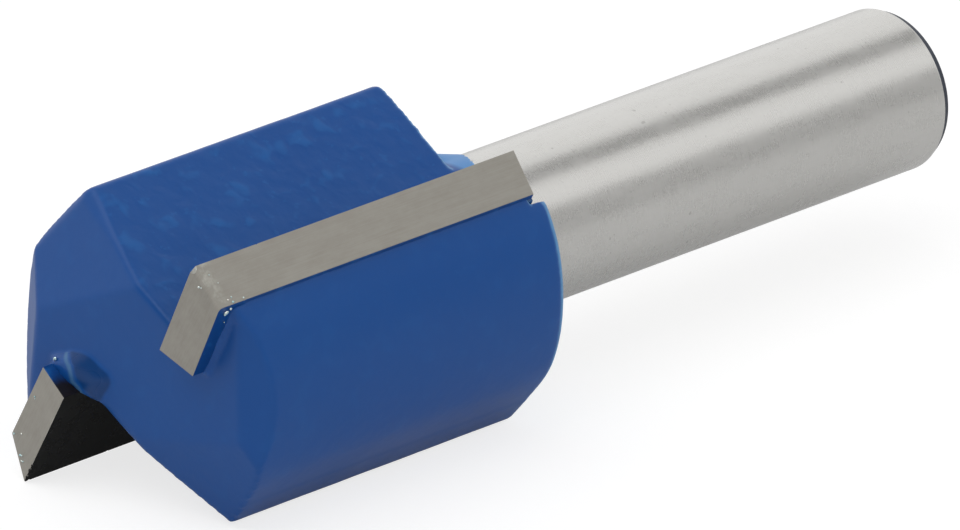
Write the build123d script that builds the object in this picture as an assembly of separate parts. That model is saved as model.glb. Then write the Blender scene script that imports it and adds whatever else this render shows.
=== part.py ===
from build123d import *
import os
from math import atan2, cos, degrees, radians, sin, sqrt, tan

# Two-flute straight router bit: a head and a shank turned and milled from one
# piece of steel, with two carbide tips brazed into seats in the head.
#
# Millimetres and degrees. Lengths along the tool are measured back from the
# foremost point of the cutting edges. Places across it are given in the front
# view, looking from the cutting end towards the shank, with the tool's axis at
# the centre, x to the right and y up, and angles running anticlockwise.
# Each form is stated for the first tip and its wing, the block of the head that
# backs it, and is turned half a turn for the second.

# --- Whole tool -------------------------------------------------------------
cutting_diameter = 18.0
overall_length = 51.5

# --- Shank and neck ---------------------------------------------------------
shank_diameter = 8.0
shank_end_chamfer_length = 0.5
shank_end_chamfer_depth = 0.22
neck_root_diameter = 9.4
neck_length = 2.7

# --- Head, a little smaller than the circle that the edges cut ---------------
edge_stand_out = 0.55
head_rear = 21.6
head_rim_round = 0.5
end_face_setback = 1.6

# --- Carbide tips -----------------------------------------------------------
tip_length = 20.6
tip_thickness = 2.0
tip_inner_end = 3.34
rake_direction = 33.6
hook_angle = 12.2
land_relief_angle = 14.7
end_relief_angle = 11.0
end_dish_angle = 2.7
bevel_reach = 0.35
bevel_length = 0.22
braze_gap = 0.1

# --- Flutes, open to the front and running out behind the head ---------------
flute_angle = 93.1
flute_wall_offset = 3.71
flute_run_out = 0.3

# --- Clearance facets ground on each wing behind its tip ---------------------
corner_facet_direction = -28.0
corner_facet_offset = 7.0
corner_facet_slope = 35.0
trailing_facet_direction = -105.5
trailing_facet_offset = 3.06
trailing_facet_slope = 21.3
heel_flat_direction = -71.3
heel_flat_depth = 0.26

# --- Sizes that follow ------------------------------------------------------
cutting_radius = cutting_diameter / 2
shank_radius = shank_diameter / 2
neck_root_radius = neck_root_diameter / 2
head_radius = cutting_radius - edge_stand_out
heel_flat_offset = head_radius - heel_flat_depth
rake_offset = cutting_radius * sin(radians(hook_angle))
heel_offset = rake_offset + tip_thickness
edge_reach = sqrt(cutting_radius**2 - rake_offset**2)
milled_end = head_rear + flute_run_out
beyond = 2 * overall_length


def across(angle):
    """Unit step in the front view at an angle from x."""
    return Vector(cos(radians(angle)), sin(radians(angle)))


def on_tool(place, distance):
    """Point or direction of the tool from a front-view one and a distance."""
    return Vector(distance, -place.X, place.Y)


def half_turn(piece):
    """The same piece on the opposite side of the tool."""
    return Rot(X=180) * piece


def milled(outline, start, end):
    """Straight bar along the tool with the given front-view corners."""
    plane = Plane(origin=(start, 0, 0), x_dir=(0, -1, 0), z_dir=(-1, 0, 0))
    corners = [(corner.X, corner.Y) for corner in outline]
    return extrude(plane * make_face(Polyline(*corners, close=True)), amount=start - end)


def ground_away(place, normal):
    """Everything on the outer side of a flat through a place on the tool."""
    flat = Plane(origin=place, z_dir=normal)
    return flat * Box(beyond, beyond, beyond, align=(Align.CENTER, Align.CENTER, Align.MIN))


def end_facet(direction, offset, slope):
    """What is ground off in front of a facet that slopes back from the end face."""
    start = on_tool(across(direction) * offset, end_face_setback)
    return ground_away(start, on_tool(across(direction) * tan(radians(slope)), -1))


# --- Directions of the first tip: along its rake face, and into its thickness --
outward = across(rake_direction)
heelward = across(rake_direction - 90)


def on_tip(reach, depth):
    """Front-view place at a reach along the rake face and a depth behind the axis."""
    return outward * reach + heelward * depth


# --- Turned blank -----------------------------------------------------------
profile = Polyline(
    (end_face_setback, 0),
    (end_face_setback, head_radius),
    (head_rear, head_radius),
    (head_rear, neck_root_radius),
    (head_rear + neck_length, shank_radius),
    (overall_length - shank_end_chamfer_length, shank_radius),
    (overall_length, shank_radius - shank_end_chamfer_depth),
    (overall_length, 0),
    close=True,
)
turned = revolve(make_face(profile), axis=Axis.X)
rear_rim = turned.edges().filter_by(GeomType.CIRCLE).sort_by(Axis.X).group_by(SortBy.RADIUS)[-1][-1]
turned = fillet(rear_rim, head_rim_round)

# --- Flats ground on the wings: two facets at the end and a flat at the heel ---
corner_facet = end_facet(corner_facet_direction, corner_facet_offset, corner_facet_slope)
trailing_facet = end_facet(trailing_facet_direction, trailing_facet_offset, trailing_facet_slope)
heel_normal = across(heel_flat_direction)
heel_flat = ground_away(on_tool(heel_normal * heel_flat_offset, 0), on_tool(heel_normal, 0))
ground = turned
for flat in (corner_facet, trailing_facet, heel_flat):
    ground = ground - flat - half_turn(flat)

# --- Flute: a notch between the rake face and the wall of the wing ahead -------
wall_normal = across(rake_direction + 90 - flute_angle)
wall_run = across(rake_direction + 180 - flute_angle)
rake_line = heelward * rake_offset
vertex_reach = (flute_wall_offset - rake_line.dot(wall_normal)) / outward.dot(wall_normal)
vertex = on_tip(vertex_reach, rake_offset)
flute = milled([vertex, vertex + outward * beyond, vertex + wall_run * beyond], -beyond, milled_end)

# --- Seat of a tip, with room for the braze behind it and at its inner end -----
seat_inner_end = tip_inner_end - braze_gap
seat_floor = heel_offset + braze_gap
seat_corners = [
    on_tip(seat_inner_end, rake_offset),
    on_tip(beyond, rake_offset),
    on_tip(beyond, seat_floor),
    on_tip(seat_inner_end, seat_floor),
]
seat = milled(seat_corners, -beyond, milled_end)

cutter_body = ground
for cut in (flute, seat):
    cutter_body = cutter_body - cut - half_turn(cut)

# --- Carbide tip: a flat bar, ground back behind its side and end edges --------
land_lean = tan(radians(hook_angle + land_relief_angle))
tip_corners = [
    on_tip(tip_inner_end, rake_offset),
    on_tip(edge_reach, rake_offset),
    on_tip(edge_reach - tip_thickness * land_lean, heel_offset),
    on_tip(tip_inner_end, heel_offset),
]
tip_bar = milled(tip_corners, -tip_thickness, tip_length)
end_lean = heelward * tan(radians(end_relief_angle)) - outward * tan(radians(end_dish_angle))
foremost = on_tool(on_tip(edge_reach - bevel_reach, rake_offset), 0)
end_grind = ground_away(foremost, on_tool(end_lean, -1))
corner_bevel = ground_away(foremost, on_tool(outward * bevel_length, -bevel_reach))
tip = tip_bar - end_grind - corner_bevel

# --- Braze: fills the seat round the tip, flush with the head ------------------
seat_beside_tip = milled(seat_corners, -tip_thickness, tip_length)
braze = (seat_beside_tip & ground) - tip_bar - flute

# --- Rest: on the second tip's cutting edge and the first wing's trailing edge --
# The trailing edge is where the heel flat meets the wall of the second flute.
second_wall = wall_normal * -1
shared = heel_normal.dot(second_wall)
trailing_edge = (
    heel_normal * (heel_flat_offset - flute_wall_offset * shared)
    + second_wall * (flute_wall_offset - heel_flat_offset * shared)
) * (1 / (1 - shared**2))
second_edge = on_tip(edge_reach, rake_offset) * -1
support = trailing_edge - second_edge
roll = -degrees(atan2(support.Y, support.X))
axis_height = -(second_edge.X * sin(radians(roll)) + second_edge.Y * cos(radians(roll)))
at_rest = Pos(-overall_length / 2, 0, axis_height) * Rot(X=-roll)

nodes = {
    "cutter_body": cutter_body,
    "cutting_tip_1": tip,
    "cutting_tip_2": half_turn(tip),
    "braze_1": braze,
    "braze_2": half_turn(braze),
}
os.makedirs("parts", exist_ok=True)
for name, piece in nodes.items():
    export_step(at_rest * piece, f"parts/{name}.step")
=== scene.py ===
from math import cos, exp, log, pi, radians, sin, tan

import bmesh
import bpy
from mathutils import Matrix, Quaternion, Vector, noise


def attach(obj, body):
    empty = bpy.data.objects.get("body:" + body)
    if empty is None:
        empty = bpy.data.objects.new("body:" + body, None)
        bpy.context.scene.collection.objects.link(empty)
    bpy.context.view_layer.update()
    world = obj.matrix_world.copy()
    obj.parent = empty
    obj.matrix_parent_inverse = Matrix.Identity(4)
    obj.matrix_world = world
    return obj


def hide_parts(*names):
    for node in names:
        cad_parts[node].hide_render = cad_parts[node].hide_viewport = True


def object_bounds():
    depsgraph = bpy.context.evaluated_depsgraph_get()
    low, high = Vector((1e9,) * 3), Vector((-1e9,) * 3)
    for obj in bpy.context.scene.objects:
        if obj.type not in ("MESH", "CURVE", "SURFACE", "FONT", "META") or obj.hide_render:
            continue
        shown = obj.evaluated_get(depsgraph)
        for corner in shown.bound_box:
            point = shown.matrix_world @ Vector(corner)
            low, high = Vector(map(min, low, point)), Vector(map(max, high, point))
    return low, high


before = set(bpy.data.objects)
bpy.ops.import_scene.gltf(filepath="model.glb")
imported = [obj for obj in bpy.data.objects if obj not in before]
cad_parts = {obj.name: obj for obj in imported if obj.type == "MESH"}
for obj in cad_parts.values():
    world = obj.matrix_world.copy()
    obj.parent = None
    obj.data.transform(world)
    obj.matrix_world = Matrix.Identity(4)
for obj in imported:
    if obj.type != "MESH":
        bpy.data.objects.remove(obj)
packed_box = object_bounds()

# ---------------------------------------------------------------------------
# Head and neck: the cutting end of the bit, turned and milled from the same
# bar of tool steel as the shank, then sprayed and baked in blue lacquer that
# rounds over every edge and pools along the inner corners.
# ---------------------------------------------------------------------------
# Millimetres and degrees. A place across the tool is (x, y) in the view from
# the cutting end, and w is the distance behind the foremost cutting point.
head_radius = 8.45
coat_radius = head_radius - 0.015
end_face = 1.6
shank_radius = 4.0
film = 0.02
flute_angle = 93.1
flute_end = 22.3
cutter_start = -20

edge_radius = 9.0
rake_direction = 33.6
hook_angle = 12.2
rake_depth = edge_radius * sin(radians(hook_angle))
edge_reach = edge_radius * cos(radians(hook_angle))
tip_thickness = 2.0
tip_inner_end = 3.34
tip_length = 20.6
braze_gap = 0.1
heel_direction = -71.3
heel_depth = rake_depth + tip_thickness


def across(angle):
    return Vector((cos(radians(angle)), sin(radians(angle))))


outward = across(rake_direction)
heelward = across(rake_direction - 90)
wall_direction = rake_direction + 90 - flute_angle
wall_normal = across(wall_direction)
wall_run = across(rake_direction + 180 - flute_angle)

# Where the tool lies: rolled onto one cutting edge and the opposite wing. The
# tool is the same after half a turn, so its axis is at half its height.
millimetre = 0.001
roll = radians(-29.63455)
cutting_end = packed_box[0].x
axis_height = (packed_box[0].z + packed_box[1].z) / 2
along_x = Matrix((
    (0, 0, millimetre, 0), (-millimetre, 0, 0, 0), (0, millimetre, 0, 0), (0, 0, 0, 1),
))
rolled = Matrix.Rotation(roll, 4, "X")
tool_to_rest = Matrix.Translation((cutting_end, 0.0, axis_height)) @ rolled @ along_x
half_turn = Matrix.Rotation(pi, 4, "Z")


def lay_down(piece):
    """Sets a piece down where the tool lies; w runs away from the viewer, so faces turn over."""
    piece.data.transform(tool_to_rest)
    piece.data.flip_normals()


def at(place, w):
    return Vector((place[0], place[1], w))


def on_tip(reach, depth, w):
    """A place by a tip: out along its rake face, down its thickness and back along the tool."""
    return at(outward * reach + heelward * depth, w)


def mesh_object(name, bm):
    mesh = bpy.data.meshes.new(name)
    bm.to_mesh(mesh)
    bm.free()
    made = bpy.data.objects.new(name, mesh)
    bpy.context.scene.collection.objects.link(made)
    return made


def turned(name, profile_at, steps):
    """Lathe work: the profile of (w, radius) points for each angle, turned about the axis."""
    bm = bmesh.new()
    profiles = [profile_at(360 * i / steps) for i in range(steps)]
    rings = []
    for k, (w, radius) in enumerate(profiles[0]):
        if radius == 0:
            rings.append([bm.verts.new((0, 0, w))] * steps)
            continue
        ring = []
        for i, profile in enumerate(profiles):
            w, radius = profile[k]
            ring.append(bm.verts.new(at(across(360 * i / steps) * radius, w)))
        rings.append(ring)
    for near, far in zip(rings, rings[1:]):
        for i in range(steps):
            j = (i + 1) % steps
            corners = [near[i], near[j], far[j], far[i]]
            bm.faces.new(list(dict.fromkeys(corners)))
    bmesh.ops.recalc_face_normals(bm, faces=bm.faces)
    return mesh_object(name, bm)


def strip(name, sections):
    """A closed run of material through the given rings of points."""
    bm = bmesh.new()
    rings = [[bm.verts.new(p) for p in ring] for ring in sections]
    bm.faces.new(rings[0])
    bm.faces.new(rings[-1])
    for near, far in zip(rings, rings[1:]):
        for i in range(len(near)):
            j = (i + 1) % len(near)
            bm.faces.new((near[i], near[j], far[j], far[i]))
    bmesh.ops.recalc_face_normals(bm, faces=bm.faces)
    return mesh_object(name, bm)


def bar(name, outline, start, end):
    """A straight bar along the tool with the given outline across it."""
    return strip(name, [[at(p, start) for p in outline], [at(p, end) for p in outline]])


def beyond_flat(name, place, normal, reach=60):
    """Everything outside a flat through a place, for grinding it away."""
    bm = bmesh.new()
    bmesh.ops.create_cube(bm, size=reach)
    turn = normal.normalized().to_track_quat("Z", "Y").to_matrix().to_4x4()
    lift = Matrix.Translation(place + normal.normalized() * reach / 2)
    bmesh.ops.transform(bm, matrix=lift @ turn, verts=bm.verts)
    return mesh_object(name, bm)


def half_turned(piece):
    other = piece.copy()
    other.data = piece.data.copy()
    other.data.transform(half_turn)
    bpy.context.scene.collection.objects.link(other)
    return other


def settle(piece):
    """Makes the modifiers' result the piece's own mesh."""
    bpy.context.view_layer.update()
    graph = bpy.context.evaluated_depsgraph_get()
    mesh = bpy.data.meshes.new_from_object(piece.evaluated_get(graph))
    piece.modifiers.clear()
    piece.data = mesh


def cut(piece, cutters):
    for cutter in cutters:
        step = piece.modifiers.new("cut", "BOOLEAN")
        step.operation = "DIFFERENCE"
        step.solver = "EXACT"
        step.object = cutter
    settle(piece)
    for cutter in cutters:
        bpy.data.objects.remove(cutter)


def join_to(piece, parts):
    bm = bmesh.new()
    bm.from_mesh(piece.data)
    for part in parts:
        bm.from_mesh(part.data)
        bpy.data.objects.remove(part)
    bm.to_mesh(piece.data)
    bm.free()


def coat(piece, grid, passes):
    """Rounds the edges of a piece as a sprayed or molten skin does."""
    skin = piece.modifiers.new("skin", "REMESH")
    skin.mode = "VOXEL"
    skin.voxel_size = grid
    skin.use_smooth_shade = True
    soften = piece.modifiers.new("soften", "SMOOTH")
    soften.factor = 0.5
    soften.iterations = passes
    settle(piece)


def ease(value, low, high):
    share = min(1, max(0, (value - low) / (high - low)))
    return share * share * (3 - 2 * share)


# The first wing's middle lies in this direction. The second wing, opposite,
# reaches a little further back and its rim is broken less.
first_wing = -40
rear_face, second_rear, rear_swell, swell_direction = 21.5, 0.55, 0.16, 15
first_rim, rim_difference = 0.65, 0.35
heel_flat, second_heel_flat, heel_half_width = 0.185, 0.04, 40
neck_beside_flute, neck_on_wing = 4.06, 0.78
lacquer_length, lacquer_on_wing = 23.3, 1.3


def heel_radius(angle, second):
    """The turned radius, eased down onto the flat along each wing's heel."""
    off_heel = (angle - heel_direction + 90) % 180 - 90
    if abs(off_heel) >= heel_half_width:
        return coat_radius
    flat = (coat_radius - heel_flat + second_heel_flat * second) / cos(radians(off_heel))
    softness = 0.12 if off_heel > 0 else 0.02
    return coat_radius - softness * log(1 + exp((coat_radius - flat) / softness))


def head_profile(angle):
    """The blank at one angle, from its end face over the rim and down the neck."""
    second = ease(-cos(radians(angle - first_wing)), -0.6, 0.6)
    radius = heel_radius(angle, second)
    swell = rear_swell * ease(cos(radians(angle - swell_direction)), 0.7, 1)
    rear = rear_face + second_rear * second + swell
    rim = first_rim - rim_difference * second
    into_flute = (angle - rake_direction) % 180
    neck_share = ease(into_flute, 38, 58) - ease(into_flute, 150, 178)
    coat_share = ease(into_flute, 12, 62) - ease(into_flute, 120, 178)
    lacquer_end = lacquer_length + lacquer_on_wing * coat_share
    points = [(end_face, 0), (end_face, radius)]
    for i in range(9):
        a = radians(90 * i / 8)
        points.append((rear - rim + rim * sin(a), radius - rim + rim * cos(a)))
    points += [
        (rear, neck_beside_flute + neck_on_wing * neck_share),
        (lacquer_end - 0.1, shank_radius + 2 * film),
        (lacquer_end, shank_radius + film),
        (lacquer_end, 0),
    ]
    return points


def end_facet(direction, offset, slope):
    """A facet ground off the end face, leaning back by a slope from a line across it."""
    place = at(across(direction) * offset, end_face)
    return beyond_flat("facet", place, at(across(direction) * tan(radians(slope)), -1))


def flute(name, wall_depth, heel_cut, edge_round):
    """The milling of one flute: a wall with a rounded outer edge, and the rake floor."""
    floor = heelward * rake_depth
    along_floor = (wall_depth - floor.dot(wall_normal)) / outward.dot(wall_normal)
    root = floor + outward * along_floor
    heel = across(heel_direction + 180)
    flat_a, flat_b = wall_depth - edge_round, head_radius - heel_cut - edge_round
    lean = wall_normal.dot(heel)
    middle = wall_normal * (flat_a - flat_b * lean) + heel * (flat_b - flat_a * lean)
    middle = middle / (1 - lean * lean)
    start, end = wall_direction, heel_direction + 180
    edge = [middle + across(end + (start - end) * i / 8) * edge_round for i in range(9)]
    past_rim, past_wing = outward * 40, heel * 60
    outside = [root + past_rim, root + past_rim + past_wing, edge[0] + heel * 40]
    return bar(name, [root] + outside + edge, cutter_start, flute_end)


def edge_rounding(name, wall_depth, stations):
    """Rounds the front edge of a flute wall: run along it, distance back and radius."""
    rings = []
    for run, w, radius in stations:
        section = [(-3, radius), (0, radius)]
        for i in range(7):
            a = radians(15 * i)
            section.append((radius - radius * cos(a), radius - radius * sin(a)))
        section += [(radius, -3), (-3, -3)]
        rings.append([
            at(wall_normal * (wall_depth - inset) + wall_run * run, w + back)
            for back, inset in section
        ])
    return strip(name, rings)


def heel_fillet(name, leg, seed):
    """Braze that set in the corner between the end face and the tip's heel side."""
    inner, outer, steps = 3.2, 7.35, 24
    rings = []
    for i in range(steps + 1):
        reach = inner + i * (outer - inner) / steps
        size = leg * (1 + 0.3 * noise.noise(Vector((reach, seed, 0.3))))
        ring = [(-0.3, 0.3), (-0.3, -size), (0.0, -size)]
        for k in range(1, 6):
            t = radians(15 * k)
            ring.append((size * (1 - cos(t)), -size * (1 - sin(t))))
        ring += [(size, 0.0), (size, 0.3)]
        rings.append([on_tip(reach, heel_depth + d, end_face + w) for d, w in ring])
    return strip(name, rings)


def flank_bead(name):
    """Braze along the land, from the tip's heel side down onto the turned body."""
    section = [
        (6.9, 3.8), (7.57, 3.8), (7.57, 3.92), (7.46, 4.04), (7.36, 4.2), (7.24, 4.4), (6.9, 4.4),
    ]
    steps = 40
    rings = []
    for i in range(steps + 1):
        w = end_face - 0.1 + i * (tip_length - 0.2 - end_face) / steps
        rings.append([on_tip(reach, depth, w) for reach, depth in section])
    return strip(name, rings)


def inner_fillet(name):
    """Braze in the corner between the end face and the tip's inner end."""
    section = [(3.6, 0.2), (3.6, -0.3), (3.34, -0.3), (3.22, -0.12), (3.02, 0.0), (3.02, 0.2)]
    steps = 8
    rings = []
    for i in range(steps + 1):
        depth = rake_depth + 0.15 + i * (heel_depth - rake_depth - 0.1) / steps
        rings.append([on_tip(reach, depth, end_face + w) for reach, w in section])
    return strip(name, rings)


# The puddle's shore: reach, depth, and how high it climbs up the tip there.
puddle_shore = [
    (3.10, 0.62, 0.26), (2.62, 0.74, 0.32), (2.05, 0.62, 0.38), (1.52, 0.60, 0.42),
    (1.36, 0.95, 0.44), (1.48, 1.45, 0.46), (1.46, 1.90, 0.47), (1.52, 2.35, 0.47),
    (1.72, 2.80, 0.46), (2.05, 3.25, 0.44), (2.45, 3.62, 0.42), (2.95, 4.05, 0.38),
    (3.40, 4.35, 0.30),
]


def puddle(name):
    """The puddle of braze that ran out round the inner end of the second tip."""
    under_tip, rake_side, steps = 3.5, 1.93, 14
    rings = []
    for k, (reach, depth, height) in enumerate(puddle_shore):
        tip_depth = rake_side + (heel_depth - rake_side) * k / (len(puddle_shore) - 1)
        ring = []
        for i in range(steps + 1):
            t = i / steps
            ring.append(on_tip(
                under_tip + (reach - under_tip) * t,
                tip_depth + (depth - tip_depth) * t,
                end_face - height * (1 - t ** 3),
            ))
        ring.append(on_tip(reach, depth, end_face + 0.3))
        ring.append(on_tip(under_tip, tip_depth, end_face + 0.3))
        rings.append(ring)
    return strip(name, rings)


def waviness(place, normal):
    """The coat isn't quite level: it sags a few hundredths and follows the milling."""
    slow = noise.noise(place * 0.45)
    quick = noise.noise(place * 1.7 + Vector((9, 3, 5)))
    on_wall = ease(abs(normal.xy.dot(wall_normal)), 0.85, 0.96)
    return 0.010 * slow + 0.004 * quick + 0.012 * on_wall * noise.noise(place * 1.3)


first_wall, second_wall = 3.71, 3.45
seat_inner_end = tip_inner_end - braze_gap
seat_top, seat_floor, past_rim = rake_depth - 0.4, heel_depth + braze_gap, 30
seat_corners = [
    (seat_inner_end, seat_top), (past_rim, seat_top), (past_rim, seat_floor),
    (seat_inner_end, seat_floor),
]
seat_outline = [outward * reach + heelward * depth for reach, depth in seat_corners]
seat = bar("seat", seat_outline, cutter_start, flute_end)
first_flute = flute("first_flute", first_wall, 0.16, 0.4)
second_flute = flute("second_flute", second_wall, 0.2, 0.15)
first_edge = edge_rounding("first_edge", first_wall, [
    (-1.5, end_face, 0.14), (1.55, end_face, 0.14), (4.0, end_face + 0.72, 0.16),
    (6.0, end_face + 1.3, 0.4), (9.0, end_face + 2.18, 0.6),
])
second_edge = edge_rounding("second_edge", second_wall, [
    (-1.5, end_face, 0.5), (1.2, end_face, 0.5), (2.4, end_face + 0.2, 0.22),
    (4.0, end_face + 0.56, 0.12), (9.0, end_face + 1.73, 0.1),
])
for piece in (second_flute, second_edge):
    piece.data.transform(half_turn)
head = turned("lacquered_head", head_profile, 256)
cut(head, [
    end_facet(-28.0, 7.05, 33.4),
    end_facet(-105.5, 3.5, 18.6),
    end_facet(84.6, 3.48, 19.9),
    end_facet(100.2, 6.34, 42.1),
    end_facet(143.9, 6.5, 34.8),
    first_flute,
    second_flute,
    first_edge,
    second_edge,
    seat,
    half_turned(seat),
])

by_first = [
    heel_fillet("heel_fillet", 0.3, 0.0), flank_bead("flank_bead"), inner_fillet("inner_fillet"),
]
by_second = [
    heel_fillet("heel_fillet", 0.42, 4.0), flank_bead("flank_bead"), puddle("puddle"),
]
for piece in by_second:
    piece.data.transform(half_turn)
join_to(head, by_first + by_second)
coat(head, grid=0.145, passes=4)
moves = [v.normal * waviness(v.co, v.normal) for v in head.data.vertices]
for v, move in zip(head.data.vertices, moves):
    v.co += move
lay_down(head)


def node_group(name, inputs, outputs):
    group = bpy.data.node_groups.new(name, "ShaderNodeTree")
    for label, kind, value in inputs:
        socket = group.interface.new_socket(label, in_out="INPUT", socket_type=kind)
        socket.default_value = value
    for label, kind in outputs:
        group.interface.new_socket(label, in_out="OUTPUT", socket_type=kind)
    return group, group.nodes.new("NodeGroupInput"), group.nodes.new("NodeGroupOutput")


def use_group(tree, group):
    made = tree.nodes.new("ShaderNodeGroup")
    made.node_tree = group
    return made


def new_material(name):
    made = bpy.data.materials.new(name)
    made.use_nodes = True
    return made, made.node_tree, made.node_tree.nodes["Principled BSDF"]


def own_place(tree):
    return tree.nodes.new("ShaderNodeTexCoord").outputs["Object"]


def along_tool(tree, vector):
    made = tree.nodes.new("ShaderNodeSeparateXYZ")
    tree.links.new(vector, made.inputs[0])
    return made.outputs["X"]


def feed(tree, socket, value):
    """Sets a node's socket to a number or a colour, or joins it to another node's output."""
    if isinstance(value, (int, float)):
        socket.default_value = value
    elif isinstance(value, tuple):
        socket.default_value = (*value, 1)
    else:
        tree.links.new(value, socket)


def math_node(tree, operation, *values, clamp=False):
    made = tree.nodes.new("ShaderNodeMath")
    made.operation = operation
    made.use_clamp = clamp
    for socket, value in zip(made.inputs, values):
        feed(tree, socket, value)
    return made.outputs[0]


def scaled(tree, value, factor):
    return math_node(tree, "MULTIPLY", value, factor)


def vector_node(tree, operation, vector, fixed):
    made = tree.nodes.new("ShaderNodeVectorMath")
    made.operation = operation
    made.inputs[1].default_value = fixed
    tree.links.new(vector, made.inputs[0])
    return made.outputs["Value" if operation in ("DOT_PRODUCT", "DISTANCE") else "Vector"]


def spread(tree, value, low, high, start=0.0, end=1.0):
    made = tree.nodes.new("ShaderNodeMapRange")
    made.interpolation_type = "SMOOTHSTEP"
    ends = {"Value": value, "From Min": low, "From Max": high, "To Min": start, "To Max": end}
    for label, number in ends.items():
        feed(tree, made.inputs[label], number)
    return made.outputs["Result"]


def blend(tree, share, first, second):
    made = tree.nodes.new("ShaderNodeMix")
    made.data_type = "RGBA"
    feed(tree, made.inputs[0], share)
    feed(tree, made.inputs[6], first)
    feed(tree, made.inputs[7], second)
    return made.outputs[2]


def cloud(tree, vector, scale, detail=2.0, roughness=0.5, distortion=0.0):
    made = tree.nodes.new("ShaderNodeTexNoise")
    made.inputs["Scale"].default_value = scale
    made.inputs["Detail"].default_value = detail
    made.inputs["Roughness"].default_value = roughness
    made.inputs["Distortion"].default_value = distortion
    tree.links.new(vector, made.inputs["Vector"])
    return made.outputs["Fac"]


def raise_surface(tree, shader, height, distance):
    bump = tree.nodes.new("ShaderNodeBump")
    bump.inputs["Distance"].default_value = distance
    tree.links.new(height, bump.inputs["Height"])
    tree.links.new(bump.outputs["Normal"], shader.inputs["Normal"])


def behind(w):
    """Where a place so many millimetres behind the cutting end lies along the X axis."""
    return cutting_end + w * millimetre


def at_rest(direction):
    """A direction across the tool, as it points where the tool lies."""
    return rolled.to_3x3() @ Vector((0, -direction[0], direction[1]))


def by_second_tip(reach, depth, w):
    return tool_to_rest @ half_turn @ on_tip(reach, depth, w)


# The baked lacquer: a tone mottled between deep and thin, painted shade that
# darkens the concave corners, and a fine orange peel that follows the
# roughness of the steel under it.
skin, skin_in, skin_out = node_group(
    "lacquer_skin",
    [
        ("Deep", "NodeSocketColor", (0.004, 0.072, 0.3, 1)),
        ("Thin", "NodeSocketColor", (0.012, 0.13, 0.42, 1)),
        ("Peel", "NodeSocketFloat", 1.0),
    ],
    [
        ("Colour", "NodeSocketColor"), ("Roughness", "NodeSocketFloat"),
        ("Height", "NodeSocketFloat"),
    ],
)
deep, thin, peel = (skin_in.outputs[label] for label in ("Deep", "Thin", "Peel"))
place = own_place(skin)
patches = cloud(skin, place, 1000, 1.5, 0.5, 0.3)
grain = cloud(skin, place, 2600)
drifts = cloud(skin, place, 220)
bend = skin.nodes.new("ShaderNodeNewGeometry").outputs["Pointiness"]
# Painted shade: the colour is darkened where the surface bends inward.
corner_shade = spread(skin, bend, 0.485, 0.42)
mottled = math_node(skin, "MULTIPLY", spread(skin, patches, 0.54, 0.72), peel)
specks = math_node(skin, "MULTIPLY", spread(skin, grain, 0.62, 0.74), peel)
tone = blend(skin, scaled(skin, mottled, 0.5), deep, thin)
tone = blend(skin, scaled(skin, specks, 0.35), tone, thin)
tone = blend(skin, scaled(skin, drifts, 0.10), tone, thin)
tone = blend(skin, scaled(skin, corner_shade, 0.25), tone, (0.0, 0.03, 0.14))
skin.links.new(tone, skin_out.inputs["Colour"])
gloss = math_node(skin, "ADD", 0.3, scaled(skin, drifts, 0.14))
skin.links.new(gloss, skin_out.inputs["Roughness"])
bumps = math_node(skin, "MULTIPLY", patches, peel)
skin.links.new(math_node(skin, "ADD", bumps, scaled(skin, grain, 0.12)), skin_out.inputs["Height"])

lacquer, tree, shader = new_material("blue_lacquer")
shader.inputs["Specular IOR Level"].default_value = 0.3
head_skin = use_group(tree, skin)
place = own_place(tree)
back = along_tool(tree, place)
facing = tree.nodes.new("ShaderNodeNewGeometry").outputs["Normal"]
# The milled flute walls are rougher than the turned faces, so they peel more.
along_wall_normal = vector_node(tree, "DOT_PRODUCT", facing, at_rest(wall_normal))
on_wall = math_node(tree, "ABSOLUTE", along_wall_normal)
tree.links.new(spread(tree, on_wall, 0.88, 0.96, 0.18, 1.0), head_skin.inputs["Peel"])
# On the puddle at the second tip, painted shade darkens the far bank, where
# the lacquer also lies thick, and a painted highlight lightens the crest.
off_puddle = vector_node(tree, "DISTANCE", place, by_second_tip(2.4, 2.2, 1.5))
near_puddle = spread(tree, off_puddle, 0.0024, 0.0021)
above_end_face = spread(tree, back, behind(1.57), behind(1.49))
on_puddle = math_node(tree, "MULTIPLY", above_end_face, near_puddle)
from_crest = vector_node(tree, "SUBTRACT", place, by_second_tip(2.9, 2.5, 1.2))
down_bank = outward * 0.888 + heelward * 0.461
off_bank = vector_node(tree, "DOT_PRODUCT", from_crest, at_rest(down_bank))
ragged = scaled(tree, cloud(tree, place, 1100), 0.0006)
off_bank = math_node(tree, "SUBTRACT", off_bank, ragged)
bank_shade = math_node(tree, "MULTIPLY", on_puddle, spread(tree, off_bank, -0.0002, 0.00005))
off_crest = math_node(tree, "ABSOLUTE", math_node(tree, "ADD", off_bank, 0.0004))
crest_highlight = math_node(tree, "MULTIPLY", on_puddle, spread(tree, off_crest, 0.00024, 0.00002))
tone = blend(tree, scaled(tree, bank_shade, 0.75), head_skin.outputs["Colour"], (0.0, 0.034, 0.14))
tone = blend(tree, scaled(tree, crest_highlight, 0.65), tone, (0.085, 0.22, 0.4))
# Painted highlight: faces that look back towards the shank, as round the rear
# rim, are lightened in uneven patches.
uneven = spread(tree, cloud(tree, place, 700), 0.3, 0.6, 0.55, 0.9)
rim = math_node(tree, "MULTIPLY", spread(tree, along_tool(tree, facing), 0.1, 0.4), uneven)
tone = blend(tree, rim, tone, (0.1, 0.32, 0.62))
# Over the neck the lacquer is only a dusting; its colour is lifted to a light
# blue, partly as a painted reflection of the white surroundings.
on_neck = spread(tree, back, behind(22.2), behind(22.7))
tone = blend(tree, scaled(tree, on_neck, 0.8), tone, (0.075, 0.29, 0.64))
tree.links.new(tone, shader.inputs["Base Color"])
gloss = math_node(tree, "SUBTRACT", head_skin.outputs["Roughness"], scaled(tree, on_puddle, 0.1))
tree.links.new(gloss, shader.inputs["Roughness"])
raise_surface(tree, shader, head_skin.outputs["Height"], 0.000045)
head.data.materials.clear()
head.data.materials.append(lacquer)
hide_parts("cutter_body")
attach(head, "root")

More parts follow.
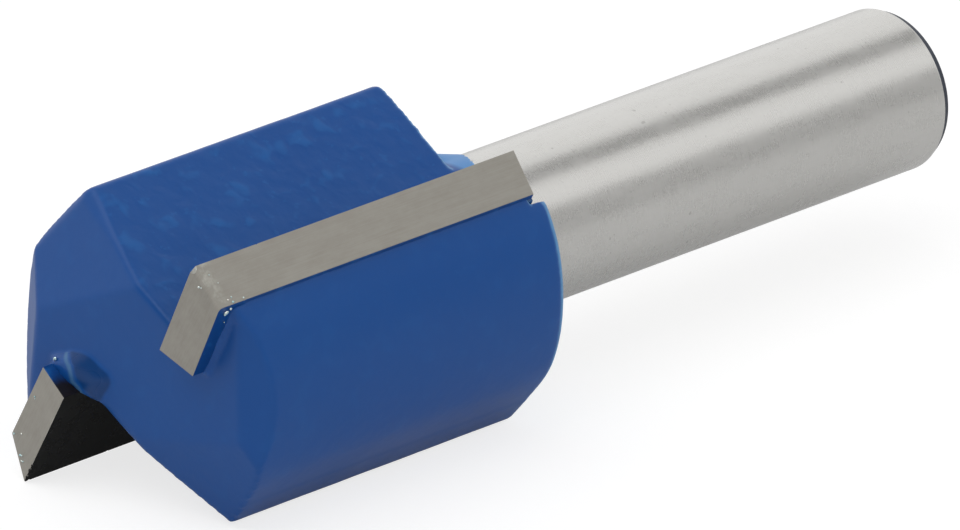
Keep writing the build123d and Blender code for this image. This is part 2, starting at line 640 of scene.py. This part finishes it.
# ---------------------------------------------------------------------------
# Shank: the plain end of the bar that the collet grips, hardened and then
# centreless ground, so fine marks run round it, with a turned chamfer at the
# free end that keeps the dark skin of the heat treatment.
# ---------------------------------------------------------------------------
inside_neck = 22.0
chamfer_start = 51.03
shank_end = 51.5
end_radius = 3.78


def shank_profile(angle):
    """The ground cylinder, its chamfer, and the lathe's centre mark in the end."""
    points = [(inside_neck, 0), (inside_neck, shank_radius)]
    for i in range(1, 24):
        w = inside_neck + i * (chamfer_start - 0.05 - inside_neck) / 23
        points.append((w, shank_radius))
    points += [
        (chamfer_start - 0.03, shank_radius),
        (chamfer_start + 0.02, shank_radius - 0.02),
        (shank_end - 0.06, end_radius + 0.02),
        (shank_end, end_radius - 0.05),
        (shank_end, 1.2),
        (shank_end - 0.25, 0.9),
        (shank_end - 0.8, 0.3),
        (shank_end - 0.85, 0),
    ]
    return points


def stretched(tree, vector, size):
    """Places measured in lengths along, across and up the tool, so a pattern can run one way."""
    made = tree.nodes.new("ShaderNodeMapping")
    made.vector_type = "TEXTURE"
    made.inputs["Scale"].default_value = size
    made.inputs["Rotation"].default_value = (-roll, 0, 0)
    tree.links.new(vector, made.inputs["Vector"])
    return made.outputs["Vector"]


# Grinding marks: fine lines that run one way, broken up along their length.
marks, marks_in, marks_out = node_group(
    "grinding_marks",
    [("Across", "NodeSocketVector", (0, 0, 0)), ("Wander", "NodeSocketVector", (0, 0, 0))],
    [("Tone", "NodeSocketFloat"), ("Height", "NodeSocketFloat")],
)
lines = cloud(marks, marks_in.outputs["Across"], 1.0, 4.0, 0.7)
spots = cloud(marks, marks_in.outputs["Wander"], 1.0, 3.0, 0.6)
broken = spread(marks, spots, 0.3, 0.7, 0.5, 1.0)
marks.links.new(math_node(marks, "MULTIPLY", lines, broken), marks_out.inputs["Height"])
mixed = math_node(marks, "ADD", scaled(marks, lines, 0.5), scaled(marks, spots, 0.5))
marks.links.new(mixed, marks_out.inputs["Tone"])


def ground_marks(tree, place, line_size, spot_size):
    """Grinding marks in a material; a line is shortest in the direction across the grind."""
    made = use_group(tree, marks)
    tree.links.new(stretched(tree, place, line_size), made.inputs["Across"])
    tree.links.new(stretched(tree, place, spot_size), made.inputs["Wander"])
    return made.outputs["Tone"], made.outputs["Height"]


steel, tree, shader = new_material("ground_steel")
shader.inputs["Metallic"].default_value = 1.0
place = own_place(tree)
grind, ridges = ground_marks(
    tree, place, (0.00005, 0.0015, 0.0015), (0.002, 0.0007, 0.0007)
)
tone = blend(
    tree, spread(tree, grind, 0.3, 0.7), (0.615, 0.608, 0.586), (0.665, 0.657, 0.635)
)
pits = spread(tree, cloud(tree, place, 2400, 1.0, 0.4), 0.77, 0.81)
tone = blend(tree, scaled(tree, pits, 0.35), tone, (0.25, 0.24, 0.22))
tree.links.new(tone, shader.inputs["Base Color"])
tree.links.new(spread(tree, grind, 0.25, 0.75, 0.24, 0.33), shader.inputs["Roughness"])
# The wheel leaves the bar a few microns out of true in soft patches.
lobes = cloud(tree, stretched(tree, place, (0.0028, 0.0014, 0.0014)), 1.0)
ground = math_node(tree, "MULTIPLY_ADD", ridges, 0.1, lobes)
raise_surface(tree, shader, ground, 0.000012)

oxide, tree, shader = new_material("dark_skin")
shader.inputs["Specular IOR Level"].default_value = 0.3
shader.inputs["Roughness"].default_value = 0.5
stain = spread(tree, cloud(tree, own_place(tree), 1800, 3.0, 0.6), 0.3, 0.7)
tone = blend(tree, stain, (0.006, 0.012, 0.03), (0.02, 0.028, 0.05))
tree.links.new(tone, shader.inputs["Base Color"])

shank = turned("ground_shank", shank_profile, 192)
shank.data.materials.append(steel)
shank.data.materials.append(oxide)
for face in shank.data.polygons:
    face.use_smooth = True
    face.material_index = 1 if face.center.z > chamfer_start else 0
lay_down(shank)
shank.data.set_sharp_from_angle(angle=radians(24))
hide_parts("cutter_body")
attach(shank, "root")

# ---------------------------------------------------------------------------
# Cutting tips: two flat bars of cemented carbide, lacquered with the head and
# then ground to size, so the land, the end and the corner bevel are bare grey
# and the sides that meet the head are still blue.
# ---------------------------------------------------------------------------
end_lean = tan(radians(11.0))
dish = tan(radians(2.7))
land_lean = tan(radians(hook_angle + 14.7))
land_reach = edge_reach - tip_thickness * land_lean
corner_bevel = {"cutting_tip_1": 0.35, "cutting_tip_2": 0.1}
ridge_round, edge_break = 0.22, 0.02

tip_outline = [
    on_tip(tip_inner_end, rake_depth, 0).xy,
    on_tip(edge_reach, rake_depth, 0).xy,
    on_tip(land_reach, heel_depth, 0).xy,
    on_tip(tip_inner_end, heel_depth, 0).xy,
]
end_normal = at(heelward * end_lean - outward * dish, -1)
bevel_normal = at(outward * 0.22, -0.35)

# Small chips along the edges: reach, depth, distance back, radius.
chips = {
    "cutting_tip_1": [
        (8.60, 1.90, 0.02, 0.07), (8.40, 1.88, 0.03, 0.05), (8.80, 1.90, 1.40, 0.04),
        (8.80, 1.90, 4.10, 0.05), (8.81, 1.90, 9.70, 0.04), (7.86, 3.90, 1.10, 0.07),
        (7.80, 3.91, 2.05, 0.06), (7.80, 3.91, 1.35, 0.05), (8.32, 2.86, 0.30, 0.03),
    ],
    "cutting_tip_2": [
        (8.45, 1.88, 0.02, 0.09), (8.05, 1.88, 0.03, 0.10), (7.72, 1.90, 0.04, 0.06),
        (8.80, 1.90, 0.30, 0.05), (8.80, 1.90, 5.30, 0.05), (8.80, 1.90, 12.2, 0.04),
        (7.80, 3.91, 3.0, 0.06), (3.34, 1.90, 0.05, 0.05),
    ],
}


def on_ridge(line):
    """True for an edge where the end grind meets the land."""
    a, b = (v.co for v in line.verts)
    middle = (a + b) / 2
    within_thickness = rake_depth + 0.3 < middle.xy.dot(heelward) < heel_depth - 0.3
    across_tip = middle.z < 1 and abs(a.z - b.z) < 0.8
    return across_tip and within_thickness and middle.xy.dot(outward) > 7.4


def chipped_out(name):
    """The lumps that have broken out along a tip's edges."""
    lumps = []
    for k, (reach, depth, w, radius) in enumerate(chips[name]):
        bm = bmesh.new()
        bmesh.ops.create_icosphere(bm, subdivisions=2, radius=radius)
        for v in bm.verts:
            v.co *= 1 + 0.35 * noise.noise(v.co * 9 + Vector((k, 2 * k, 0)))
        set_in = Matrix.Translation(on_tip(reach, depth, w)) @ Matrix.Diagonal((1, 1, 1.5, 1))
        bmesh.ops.transform(bm, matrix=set_in, verts=bm.verts)
        lumps.append(mesh_object("chip", bm))
    return lumps


def cutting_tip(name):
    tip = bar(name + "_ground", tip_outline, -2, tip_length)
    foremost = on_tip(edge_reach - corner_bevel[name], rake_depth, 0)
    cut(tip, [
        beyond_flat("end", foremost, end_normal), beyond_flat("corner", foremost, bevel_normal),
    ])
    bm = bmesh.new()
    bm.from_mesh(tip.data)
    ridge = [line for line in bm.edges if on_ridge(line)]
    bmesh.ops.bevel(
        bm, geom=ridge, offset=ridge_round, segments=5, profile=0.5, affect="EDGES"
    )
    crisp = [line for line in bm.edges if line.calc_face_angle(0) > radians(40)]
    bmesh.ops.bevel(bm, geom=crisp, offset=edge_break, segments=2, profile=0.5, affect="EDGES")
    bm.to_mesh(tip.data)
    bm.free()
    cut(tip, chipped_out(name))
    return tip


carbide, tree, shader = new_material("ground_carbide")
shader.inputs["Metallic"].default_value = 0.6
place = own_place(tree)
grind, ridges = ground_marks(
    tree, place, (0.004, 0.00006, 0.00012), (0.0012, 0.0006, 0.0006)
)
grey = blend(tree, spread(tree, grind, 0.3, 0.7), (0.314, 0.296, 0.26), (0.376, 0.36, 0.324))
# Near the cutting end, where the two grinds meet, the carbide is lighter in
# patches.
near_end = spread(tree, along_tool(tree, place), behind(1.25), behind(0.55))
patches = spread(tree, cloud(tree, place, 1900, 3.0, 0.6), 0.42, 0.66)
bright = math_node(tree, "MULTIPLY", near_end, math_node(tree, "MULTIPLY_ADD", patches, 0.55, 0.2))
tree.links.new(blend(tree, bright, grey, (0.58, 0.57, 0.52)), shader.inputs["Base Color"])
gloss = math_node(tree, "MULTIPLY_ADD", near_end, 0.25, spread(tree, grind, 0.3, 0.7, 0.4, 0.52))
tree.links.new(gloss, shader.inputs["Roughness"])
raise_surface(tree, shader, ridges, 0.000004)

# The end is ground across with a coarser wheel, so it looks duller.
end_grind, tree, shader = new_material("carbide_end")
shader.inputs["Metallic"].default_value = 0.6
grind, ridges = ground_marks(
    tree, own_place(tree), (0.0006, 0.00008, 0.0009), (0.0009, 0.0008, 0.0008)
)
share = spread(tree, grind, 0.3, 0.7)
grey = blend(tree, share, (0.33, 0.312, 0.276), (0.402, 0.384, 0.345))
tree.links.new(grey, shader.inputs["Base Color"])
tree.links.new(spread(tree, share, 0.0, 1.0, 0.45, 0.55), shader.inputs["Roughness"])
raise_surface(tree, shader, ridges, 0.000005)

# The bevel across the outer corner is ground last; its colour is lightened in
# patches as a painted highlight.
glint, tree, shader = new_material("painted_edge_glint")
shader.inputs["Metallic"].default_value = 0.6
nicks_and_glints = spread(tree, cloud(tree, own_place(tree), 2600, 3.0, 0.6), 0.35, 0.65)
tone = blend(tree, nicks_and_glints, (0.36, 0.35, 0.31), (0.62, 0.62, 0.57))
tree.links.new(tone, shader.inputs["Base Color"])
tree.links.new(spread(tree, nicks_and_glints, 0.0, 1.0, 0.5, 0.3), shader.inputs["Roughness"])

# The lacquer on the sides is coloured almost black from the rake face down to
# a ragged line.
dark_side_lacquer, tree, shader = new_material("lacquer_dark_near_rake")
shader.inputs["Specular IOR Level"].default_value = 0.28
side_skin = use_group(tree, skin)
side_skin.inputs["Deep"].default_value = (0.002, 0.052, 0.225, 1)
place = own_place(tree)
off_axis = vector_node(tree, "SUBTRACT", place, (0, 0, axis_height))
depth = vector_node(tree, "DOT_PRODUCT", off_axis, at_rest(heelward))
ragged = scaled(tree, cloud(tree, place, 1500), 0.0006)
depth = math_node(tree, "ADD", math_node(tree, "ABSOLUTE", depth), ragged)
near_rake_dark = spread(tree, depth, 0.0037, 0.0028)
tone = blend(tree, near_rake_dark, side_skin.outputs["Colour"], (0.008, 0.005, 0.005))
tree.links.new(tone, shader.inputs["Base Color"])
tree.links.new(side_skin.outputs["Roughness"], shader.inputs["Roughness"])
raise_surface(tree, shader, side_skin.outputs["Height"], 0.00002)

# Painted shade: the rake face is coloured almost black, as dark as it lies in
# the shadow under the head.
rake_shade, tree, shader = new_material("rake_face_painted_shade")
shader.inputs["Specular IOR Level"].default_value = 0.05
rake_mottle = spread(tree, cloud(tree, own_place(tree), 1200, 4.0, 0.6), 0.3, 0.75)
tone = blend(tree, rake_mottle, (0.005, 0.0052, 0.005), (0.017, 0.0175, 0.0165))
tree.links.new(tone, shader.inputs["Base Color"])
tree.links.new(spread(tree, rake_mottle, 0.0, 1.0, 0.25, 0.45), shader.inputs["Roughness"])

finishes = [carbide, rake_shade, dark_side_lacquer, glint, end_grind]


def finish_of(face):
    """Which finish a face of a tip has, by the way it looks and where it lies."""
    facing = face.normal.xy
    depth = face.center.xy.dot(heelward)
    if facing.dot(-heelward) > 0.97:
        return rake_shade
    if facing.dot(heelward) > 0.97 or facing.dot(-outward) > 0.97:
        return dark_side_lacquer
    if face.area < 0.5 and facing.dot(-outward) > 0.3:
        return dark_side_lacquer
    if abs(face.normal.z) > 0.9 or (abs(face.normal.z) > 0.3 and depth > 2.75):
        return end_grind
    if face.area < 2 and facing.dot(outward) < 0.88 and depth < 2.4:
        return glint
    return carbide


for name in ("cutting_tip_1", "cutting_tip_2"):
    tip = cutting_tip(name)
    tip.data.materials.clear()
    for finish in finishes:
        tip.data.materials.append(finish)
    for face in tip.data.polygons:
        face.material_index = finishes.index(finish_of(face))
        face.use_smooth = False
    if name == "cutting_tip_2":
        tip.data.transform(half_turn)
    lay_down(tip)
    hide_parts(name)
    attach(tip, "root")

# ---------------------------------------------------------------------------
# Braze: silver braze that ran in behind each tip and set as a small fillet
# round it, lacquered over with the head. A few drops spat onto the carbide
# and stayed bright.
# ---------------------------------------------------------------------------
# Drops: reach, depth, distance back, radius.
drops = {
    "braze_1": [
        (8.302, 2.877, 1.004, 0.035), (7.936, 3.60, 1.36, 0.05), (7.899, 3.672, 1.125, 0.045),
        (7.824, 3.819, 1.347, 0.06), (8.523, 2.442, 0.714, 0.04), (7.835, 3.798, 2.026, 0.055),
        (8.087, 2.581, 0.149, 0.07), (8.13, 2.7, 0.17, 0.045), (7.42, 3.95, 0.99, 0.11),
        (7.56, 3.94, 1.2, 0.07), (7.3, 3.95, 0.95, 0.08), (6.69, 3.93, 1.18, 0.035),
    ],
    "braze_2": [
        (7.503, 3.741, 0.402, 0.05), (7.076, 3.313, 0.339, 0.05), (7.98, 2.837, 0.204, 0.05),
        (7.93, 2.76, 0.19, 0.045), (7.88, 2.69, 0.175, 0.04), (8.111, 2.579, 0.147, 0.05),
        (8.06, 2.49, 0.13, 0.045), (4.938, 3.567, 0.489, 0.04), (4.99, 3.49, 0.47, 0.035),
        (3.05, 3.89, 1.27, 0.10),
    ],
}


def lump(place):
    """How far a drop's skin is pushed along x, y and z at a place."""
    return Vector([noise.noise(place + Vector((20 * axis, 0, 0))) for axis in range(3)])


def spatter(name):
    bm = bmesh.new()
    for k, (reach, depth, w, radius) in enumerate(drops[name]):
        landed = Matrix.Translation(on_tip(reach, depth, w))
        made = bmesh.ops.create_icosphere(bm, subdivisions=3, radius=radius, matrix=landed)
        for v in made["verts"]:
            v.co += 0.25 * radius * lump(v.co * 8 + Vector((k, 0, 0)))
    return mesh_object(name + "_drops", bm)


silver, tree, shader = new_material("bare_braze")
shader.inputs["Metallic"].default_value = 1.0
dull = spread(tree, cloud(tree, own_place(tree), 3000, 3.0, 0.6), 0.35, 0.65)
tone = blend(tree, dull, (0.86, 0.85, 0.8), (0.4, 0.62, 0.66))
tree.links.new(tone, shader.inputs["Base Color"])
tree.links.new(spread(tree, dull, 0.0, 1.0, 0.15, 0.3), shader.inputs["Roughness"])

beads, tree, shader = new_material("lacquered_braze")
shader.inputs["Specular IOR Level"].default_value = 0.5
shader.inputs["Roughness"].default_value = 0.18
bead_skin = use_group(tree, skin)
bead_skin.inputs["Deep"].default_value = (0.0, 0.055, 0.2, 1)
bead_skin.inputs["Thin"].default_value = (0.01, 0.2, 0.38, 1)
bead_skin.inputs["Peel"].default_value = 0.5
tree.links.new(bead_skin.outputs["Colour"], shader.inputs["Base Color"])
raise_surface(tree, shader, bead_skin.outputs["Height"], 0.00002)

for name in ("braze_1", "braze_2"):
    drop = spatter(name)
    drop.data.materials.append(silver)
    for face in drop.data.polygons:
        face.use_smooth = True
    if name == "braze_2":
        drop.data.transform(half_turn)
    lay_down(drop)
    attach(drop, "root")
    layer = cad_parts[name]
    layer.data.materials.clear()
    layer.data.materials.append(beads)

# ---------------------------------------------------------------------------
# Where it lies: a white sheet under soft even light, with a pale board low in
# front and one overhead that put the long grey bands on the shank.
# ---------------------------------------------------------------------------


def shown(tree, mirrored):
    """1 where the viewer sees the surface, and a share of it mirrored or through glass."""
    path = tree.nodes.new("ShaderNodeLightPath").outputs
    others = math_node(tree, "ADD", path["Is Glossy Ray"], path["Is Transmission Ray"])
    return math_node(tree, "MULTIPLY_ADD", others, mirrored, path["Is Camera Ray"], clamp=True)


sheet, tree, shader = new_material("white_paper")
shader.inputs["Roughness"].default_value = 0.9
shader.inputs["Specular IOR Level"].default_value = 0.1
shader.inputs["Emission Strength"].default_value = 1.0
fibre = spread(tree, cloud(tree, own_place(tree), 60, 3.0), 0.3, 0.7)
white = blend(tree, fibre, (0.86, 0.86, 0.86), (0.9, 0.9, 0.9))
white = blend(tree, shown(tree, 0.6), white, (0.32, 0.32, 0.32))
tree.links.new(white, shader.inputs["Base Color"])
glow = blend(tree, shown(tree, 0.24), (0, 0, 0), (0.76, 0.76, 0.76))
tree.links.new(glow, shader.inputs["Emission Color"])

bm = bmesh.new()
bmesh.ops.create_grid(bm, x_segments=1, y_segments=1, size=30)
floor = mesh_object("white_sheet", bm)
floor.location.z = -0.00002
floor.data.materials.append(sheet)


def board(name, corners, shade):
    """A sheet of paper that only the tool mirrors; it has no shadow and isn't seen."""
    bm = bmesh.new()
    bm.faces.new([bm.verts.new(c) for c in corners])
    made = mesh_object(name, bm)
    paper, tree, shader = new_material(name + "_paper")
    shader.inputs["Base Color"].default_value = (shade, shade, shade, 1)
    shader.inputs["Roughness"].default_value = 1.0
    made.data.materials.append(paper)
    made.visible_camera = False
    made.visible_shadow = False


def upright(start, end, height):
    """The corners of a board that stands on the floor between two places."""
    return [(*start, 0.0), (*end, 0.0), (*end, height), (*start, height)]


board("front_board", upright((-0.5, -0.5), (1.3, -0.5), 0.36), 0.7)
board("left_board", upright((-1.2, -0.35), (-1.2, 0.9), 1.1), 0.3)
top_corners = [(0.0, -0.115), (0.9, -0.115), (0.9, 0.07), (0.0, 0.07)]
board("top_board", [(x, y, 0.42) for x, y in top_corners], 0.6)

world = bpy.data.worlds.new("studio")
bpy.context.scene.world = world
world.use_nodes = True
sky = world.node_tree
background = sky.nodes["Background"]
background.inputs["Color"].default_value = (1, 1, 1, 1)
level = spread(sky, shown(sky, 1.0), 0.0, 1.0, 0.8, 1.0)
sky.links.new(level, background.inputs["Strength"])

light = bpy.data.lights.new("key", "AREA")
light.shape = "SQUARE"
light.size = 0.9
light.energy = 2.2
key = bpy.data.objects.new("key", light)
bpy.context.scene.collection.objects.link(key)
key.location = (-0.3, 0.1, 0.9)
key.rotation_euler = (-key.location).to_track_quat("-Z", "Y").to_euler()

# The camera stands off the cutting end, to the left and above, with a long
# lens. It is turned a trace about its own line of sight.
aim = Vector((0.0010128, 0.0027990, 0.0040669))
distance = 0.945
bearing, dip, camera_roll = radians(44.590513), radians(22.053922), radians(0.08536)
sight = Vector((cos(dip) * sin(bearing), cos(dip) * cos(bearing), -sin(dip)))
camera = bpy.data.objects.new("camera", bpy.data.cameras.new("camera"))
bpy.context.scene.collection.objects.link(camera)
camera.location = aim - sight * distance
camera.rotation_mode = "QUATERNION"
level_camera = sight.to_track_quat("-Z", "Y")
camera.rotation_quaternion = level_camera @ Quaternion((0, 0, 1), camera_roll)
camera.data.lens = 755.289
camera.data.sensor_width = 36
camera.data.clip_start = 0.01
camera.data.clip_end = 100
bpy.context.scene.camera = camera
bpy.context.scene.view_settings.view_transform = "Standard"
